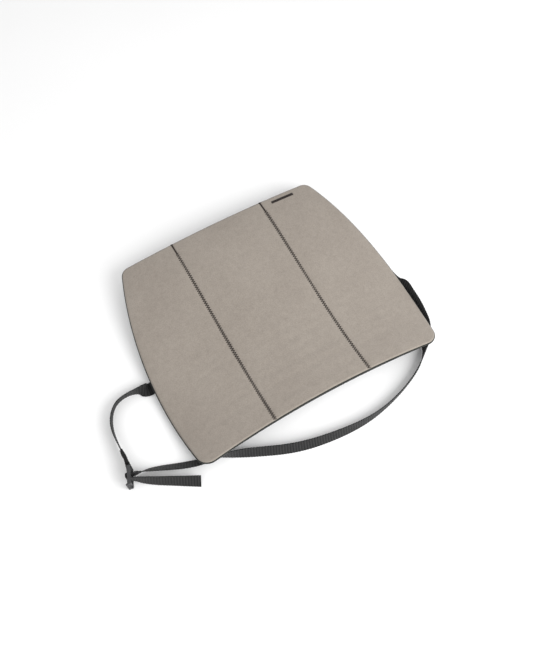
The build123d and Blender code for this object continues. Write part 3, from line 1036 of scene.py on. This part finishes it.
def zigzag(seam_x):
    """The zigzag over one seam, narrow and close where it was locked at the top."""
    y = RIM.top - 1.2
    locked = RIM.top - LOCKED_LENGTH
    low = float(RIM.under_y(seam_x)) + 1.5
    side, points = 1, []
    while y > low:
        half, pitch = (LOCKED_HALF, LOCKED_STEP) if y > locked else (ZIGZAG_HALF, ZIGZAG_STEP)
        x, far = seam_x + side * half, seam_x - side * half
        inward = side * min(0.4, half / 3)
        points.append((x, y, cover_height(x, y) + 0.05))
        points.append((x - inward, y - 0.12, cover_height(x, y) + 0.34))
        points.append((seam_x, y - pitch / 2, cover_height(x, y - pitch / 2) + 0.36))
        points.append((far + inward, y - pitch + 0.12, cover_height(far, y - pitch) + 0.34))
        y -= pitch
        side = -side
    return thread(points, ZIGZAG_THREAD)


def seam_knot(seam_x):
    """The lump of thread where the seam starts at the rim."""
    y = RIM.top
    points = [(seam_x + 1.9 * math.cos(a), y - 1.0 + 0.9 * math.sin(a)) for a in np.linspace(0, 5.6, 14)]
    return thread([(x, y, cover_height(x, y) - 0.6) for x, y in points], KNOT_THREAD)


for label, seam_x in (("left", -SEAM_X), ("right", SEAM_X)):
    stitches = gathered(f"zigzag_{label}", [zigzag(seam_x), seam_knot(seam_x)])
    dress(stitches, SEAM_THREAD, "panel", "seam_thread", f"seam_stitch_{label}")


def embroidered_bar():
    """A plain satin-stitched bar near the top edge."""
    random.seed(7)
    threads = []
    for k in range(BAR_STITCHES):
        x = BAR_LEFT_X + k * BAR_STITCH_STEP
        ys = np.linspace(BAR_LOW_Y, BAR_HIGH_Y, 6)
        lean = random.uniform(-0.05, 0.05)
        points = []
        for j, y in enumerate(ys):
            here = x + 0.5 * (j / 5 - 0.5) + lean
            crown = BAR_CROWN * math.sin(math.pi * j / 5)
            points.append((here, y, float(front_surface(np.float64(here), np.float64(y))) + crown))
        threads.append(thread(points, BAR_THREAD, 5))
    made = gathered("embroidered_bar", threads)
    dress(made, SEAM_THREAD, "panel", "seam_thread", "front_tag")


embroidered_bar()


# ------------------------------------------------------------------ sewn strap ends
def straight_run(start, end, count):
    """Points from start to end."""
    start, end = np.array(start), np.array(end)
    return [start + (end - start) * s for s in np.linspace(0, 1, count)]


def straight_web(name, start, end, across):
    """A straight length of webbing whose width points across."""
    line = np.array(straight_run(start, end, 30))
    edge = line + np.array(across) * WEB_WIDTH / 2
    return ribbon(name, line * MM, edge * MM)[0]


left_tab_start, left_tab_end = (-TAB_INNER_X, ANCHOR_Y, 1.0), (-LEFT_TAB_OUTER_X, ANCHOR_Y, 1.0)
left_tab = straight_web("left_anchor", left_tab_start, left_tab_end, (0, 1, 0))
dress(left_tab, WEBBING, "panel", "webbing", "left_anchor_tab")


def right_anchor():
    """The right end: flat under the panel, then folded over itself at 45 degrees."""
    start, end = (TAB_INNER_X, ANCHOR_Y, 0.95), (RIGHT_FOLD_X, ANCHOR_Y, 0.95)
    tab = straight_web("right_anchor_run", start, end, (0, 1, 0))
    corner = (RIGHT_FOLD_X, ANCHOR_Y + WEB_WIDTH / 2)
    outer = (RIGHT_FOLD_X + WEB_WIDTH, ANCHOR_Y - WEB_WIDTH / 2)
    inner = (RIGHT_FOLD_X, ANCHOR_Y - WEB_WIDTH / 2)
    points = [(*place, z) for z in (FOLD_LOW_Z, FOLD_HIGH_Z) for place in (corner, outer, inner)]
    faces = [(0, 1, 2), (5, 4, 3), (0, 3, 4, 1), (1, 4, 5, 2), (2, 5, 3, 0)]
    fold = to_object("right_anchor_fold", points, faces)
    soft = fold.modifiers.new("soft", "BEVEL")
    soft.width = 1.2 * MM
    soft.segments = 4
    return joined("right_anchor", [tab, fold])


right_tab = right_anchor()
dress(right_tab, WEBBING, "panel", "webbing", "right_anchor_tab")


def stitch_rows(runs):
    """Short raised stitches along straight runs in the order given."""
    threads = []
    for start, end, up in runs:
        start, end, up = np.array(start, float), np.array(end, float), np.array(up, float)
        length = np.linalg.norm(end - start)
        count = max(2, round(length / STITCH_PITCH))
        for k in range(count):
            a = start + (end - start) * (k + STITCH_GAP / STITCH_PITCH / 2) / count
            b = start + (end - start) * (k + 1 - STITCH_GAP / STITCH_PITCH / 2) / count
            rise = (b - a) * 0.2
            points = [a - up * 0.35, a + rise, (a + b) / 2 + up * 0.12, b - rise, b - up * 0.35]
            threads.append(thread(points, STITCH_THREAD))
    return threads


def box_stitch(name, middle_x, node):
    """A box and cross of thread under an anchor."""
    down = (0, 0, -1)
    x0, x1 = middle_x - STITCH_HALF_LENGTH, middle_x + STITCH_HALF_LENGTH
    y0, y1 = ANCHOR_Y - STITCH_HALF_WIDTH, ANCHOR_Y + STITCH_HALF_WIDTH
    a, b, c, d = [(x, y, STITCH_Z) for x, y in ((x0, y0), (x1, y0), (x1, y1), (x0, y1))]
    runs = [(a, b, down), (b, c, down), (c, d, down), (d, a, down), (a, c, down), (b, d, down)]
    made = gathered(name, stitch_rows(runs))
    dress(made, BLACK_THREAD, "panel", "black_thread", node)


box_stitch("left_box_stitch", -STITCH_X, "left_anchor_stitch")
box_stitch("right_box_stitch", STITCH_X, "right_anchor_stitch")

# ------------------------------------------------------------------ ladder lock
heading = math.radians(LOCK_HEADING)
LOCK_ALONG = np.array((-math.sin(heading), -math.cos(heading)))
LOCK_OUT = np.array((-LOCK_ALONG[1], LOCK_ALONG[0]))
LOCK_BAR = np.array((LOCK_BAR_X, LOCK_BAR_Y))


def on_lock(along, out):
    """A plan point given in the lock's own directions."""
    return LOCK_BAR + LOCK_ALONG * along + LOCK_OUT * out


def moulding(name, profile, low, high, bevel):
    """An upright prism of a plan profile in the lock's own directions, with softened edges."""
    count = len(profile)
    plan = [on_lock(*p) for p in profile]
    points = [(*p, low) for p in plan] + [(*p, high) for p in plan]
    faces = [tuple(range(count))[::-1], tuple(count + i for i in range(count))]
    faces += [(i, (i + 1) % count, count + (i + 1) % count, count + i) for i in range(count)]
    made = to_object(name, points, faces)
    soft = made.modifiers.new("soft", "BEVEL")
    soft.width = bevel * MM
    soft.segments = 3
    soft.limit_method = "ANGLE"
    soft.angle_limit = math.radians(35)
    return made


def rounded(low_a, high_a, half, radius, steps=5):
    """A rounded rectangle profile."""
    profile = []
    for a, o, start in (
        (high_a - radius, half - radius, 0),
        (low_a + radius, half - radius, 90),
        (low_a + radius, radius - half, 180),
        (high_a - radius, radius - half, 270),
    ):
        for k in range(steps + 1):
            angle = math.radians(start + 90 * k / steps)
            profile.append((a + radius * math.cos(angle), o + radius * math.sin(angle)))
    return profile


def ladder_lock():
    """Two rails, the far bar, the grip bar and a ridged thumb tab."""
    parts = []
    for level in (WEB_LIFT, LOCK_HEIGHT - RAIL):
        rail = rounded(LOCK_FAR_END, LOCK_NEAR_END, LOCK_THICKNESS / 2, 1.5)
        parts.append(moulding("rail", rail, level, level + RAIL, 0.6))
    angles = np.linspace(0, 2 * math.pi, 24, False)
    round_bar = [(BAR_RADIUS * math.cos(a), BAR_RADIUS * math.sin(a)) for a in angles]
    parts.append(moulding("bar", round_bar, WEB_LIFT + 0.5, LOCK_HEIGHT - 0.5, 0.2))
    half = GRIP_BAR_LENGTH / 2
    grip = rounded(GRIP_BAR - half, GRIP_BAR + half, GRIP_BAR_THICKNESS / 2, 0.9)
    parts.append(moulding("grip", grip, WEB_LIFT + 0.5, LOCK_HEIGHT - 0.5, 0.2))
    thumb = [
        (THUMB_BAR_INNER, -0.4),
        (THUMB_BAR_INNER + 0.4, 1.0),
        (THUMB_BAR_INNER + 1.4, 1.75),
        (LOCK_NEAR_END - 2.6, 1.3),
        (LOCK_NEAR_END - 0.8, 0.2),
        (LOCK_NEAR_END + 0.4, -1.6),
        (LOCK_NEAR_END + 1.2, -3.4),
        (LOCK_NEAR_END + 0.7, -4.2),
        (LOCK_NEAR_END - 0.4, -4.4),
        (LOCK_NEAR_END - 1.2, -3.2),
        (LOCK_NEAR_END - 2.4, -1.8),
        (LOCK_NEAR_END - 4.4, -1.0),
    ]
    parts.append(moulding("thumb", thumb, WEB_LIFT + 0.3, LOCK_HEIGHT - 0.3, 0.35))
    ridge = [
        (LOCK_NEAR_END - 2.0, 1.2),
        (LOCK_NEAR_END - 0.6, 0.7),
        (LOCK_NEAR_END + 0.7, -1.3),
        (LOCK_NEAR_END + 1.5, -3.2),
        (LOCK_NEAR_END + 0.4, -3.2),
        (LOCK_NEAR_END - 1.0, -0.6),
    ]
    for k in range(RIDGES):
        z = RIDGE_LOW_Z + RIDGE_PITCH * k
        parts.append(moulding("ridge", ridge, z, z + RIDGE_HEIGHT, 0.3))
    made = joined("lock_moulding", parts)
    dress(made, LOCK_PLASTIC, "buckle", "lock_plastic", "ladder_lock")
    return made


lock = ladder_lock()


# ------------------------------------------------------------------ sewn loop on the lock's far bar
def sewn_loop():
    """Webbing round the far bar and doubled back on itself."""
    reach = BAR_RADIUS + RUN_CLEARANCE + WEB_THICKNESS / 2
    outer = [(LOOP_X + 1.45, -80.0), (LOOP_X + 1.45, -88.0), (LOOP_X + 1.4, -94.0)]
    for degrees in range(10, -191, -20):
        angle = math.radians(degrees)
        outer.append((LOCK_BAR_X + reach * math.cos(angle), LOCK_BAR_Y + reach * math.sin(angle)))
    outer += [(LOOP_X - 1.5, -94.5), (LOOP_X - 1.45, -88.0), (LOOP_X - 1.45, -81.0)]
    line = spline_line([Vector((x * MM, y * MM, WEB_MIDDLE * MM)) for x, y in outer], 12)
    edge = line + np.array((0, 0, WEB_WIDTH / 2 * MM))
    made = ribbon("sewn_loop", line, edge)[0]
    dress(made, WEBBING, "strap", "webbing", "left_strap_loop")
    return made


def loop_fold():
    """The webbing's turned-in end, the middle layer of the sewn loop."""
    ends = [(LOOP_X, -80.4), (LOOP_X, -90.0), (LOOP_X - 0.1, -96.0), (LOOP_X - 0.4, -101.0)]
    line = spline_line([Vector((x * MM, y * MM, WEB_MIDDLE * MM)) for x, y in ends], 12)
    edge = line + np.array((0, 0, (WEB_WIDTH / 2 - 0.2) * MM))
    dress(ribbon("loop_fold", line, edge)[0], WEBBING, "strap", "webbing")


loop = sewn_loop()
loop_fold()


def upright_thread(points, radius, sides=6):
    """A thread that runs nearly straight up."""
    verts = []
    for place in points:
        for k in range(sides):
            angle = 2 * math.pi * k / sides
            verts.append(place + radius * np.array((math.cos(angle), math.sin(angle), 0)))
    return verts, thread_faces(len(points), sides)


def bartack():
    """Dense rows of thread through the webbing's three layers."""
    threads = []
    for face in (-1, 1):
        x = LOOP_X + face * (1.5 * WEB_THICKNESS + 0.1)
        for k in range(TACK_ROWS):
            y = TACK_HIGH_Y - k * TACK_STEP
            points = straight_run((x, y, TACK_LOW_Z), (x, y - TACK_SLANT, TACK_HIGH_Z), 12)
            threads.append(upright_thread(points, TACK_THREAD))
    made = gathered("bartack", threads)
    dress(made, BLACK_THREAD, "strap", "black_thread", "loop_bartack")
    return made


tack = bartack()

# ------------------------------------------------------------------ webbing, with the tail on the buckle's body
dress(left_web, WEBBING, None, "webbing", "left_strap")
dress(right_web, WEBBING, None, "webbing", "right_strap")
dress(lead_web, WEBBING, None, "webbing", "strap_lead")
dress(tail_web, WEBBING, "buckle", "webbing", "strap_tail", "strap_wrap")
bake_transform(left_web)
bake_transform(right_web)
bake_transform(lead_web)

# ------------------------------------------------------------------ the CAD node that stays
plate = frame["nodes"]["support_plate"]
plate.data.materials.clear()
plate.data.materials.append(PLATE_PLASTIC)


# ------------------------------------------------------------------ floor and light
def studio():
    """A pale floor and large soft lights."""
    corners = [(x * FLOOR_HALF, y * FLOOR_HALF, FLOOR_Z) for x, y in ((-1, -1), (1, -1), (1, 1), (-1, 1))]
    floor = to_object("floor", corners, [(0, 1, 2, 3)], smooth=False)
    n = Nodes("floor_paint")
    tone = n.ramp(n.noise(3.0), 0.3, 0.7, (0.90, 0.90, 0.90), (0.92, 0.92, 0.92))
    n.finish(tone, 0.8, specular=0.2)
    floor.data.materials.append(n.material)
    world = bpy.data.worlds.new("studio")
    world.use_nodes = True
    background = world.node_tree.nodes["Background"]
    background.inputs["Color"].default_value = (1.0, 1.0, 1.0, 1.0)
    background.inputs["Strength"].default_value = WORLD_STRENGTH
    scene.world = world
    for name, place, aim, across, power in LIGHTS:
        light = bpy.data.lights.new(name, "AREA")
        light.shape = "SQUARE"
        light.size = across
        light.energy = power
        lamp = bpy.data.objects.new(name, light)
        lamp.location = place
        lamp.rotation_mode = "QUATERNION"
        lamp.rotation_quaternion = (Vector(aim) - Vector(place)).to_track_quat("-Z", "Y")
        scene.collection.objects.link(lamp)


studio()
scene.view_settings.view_transform = "Standard"
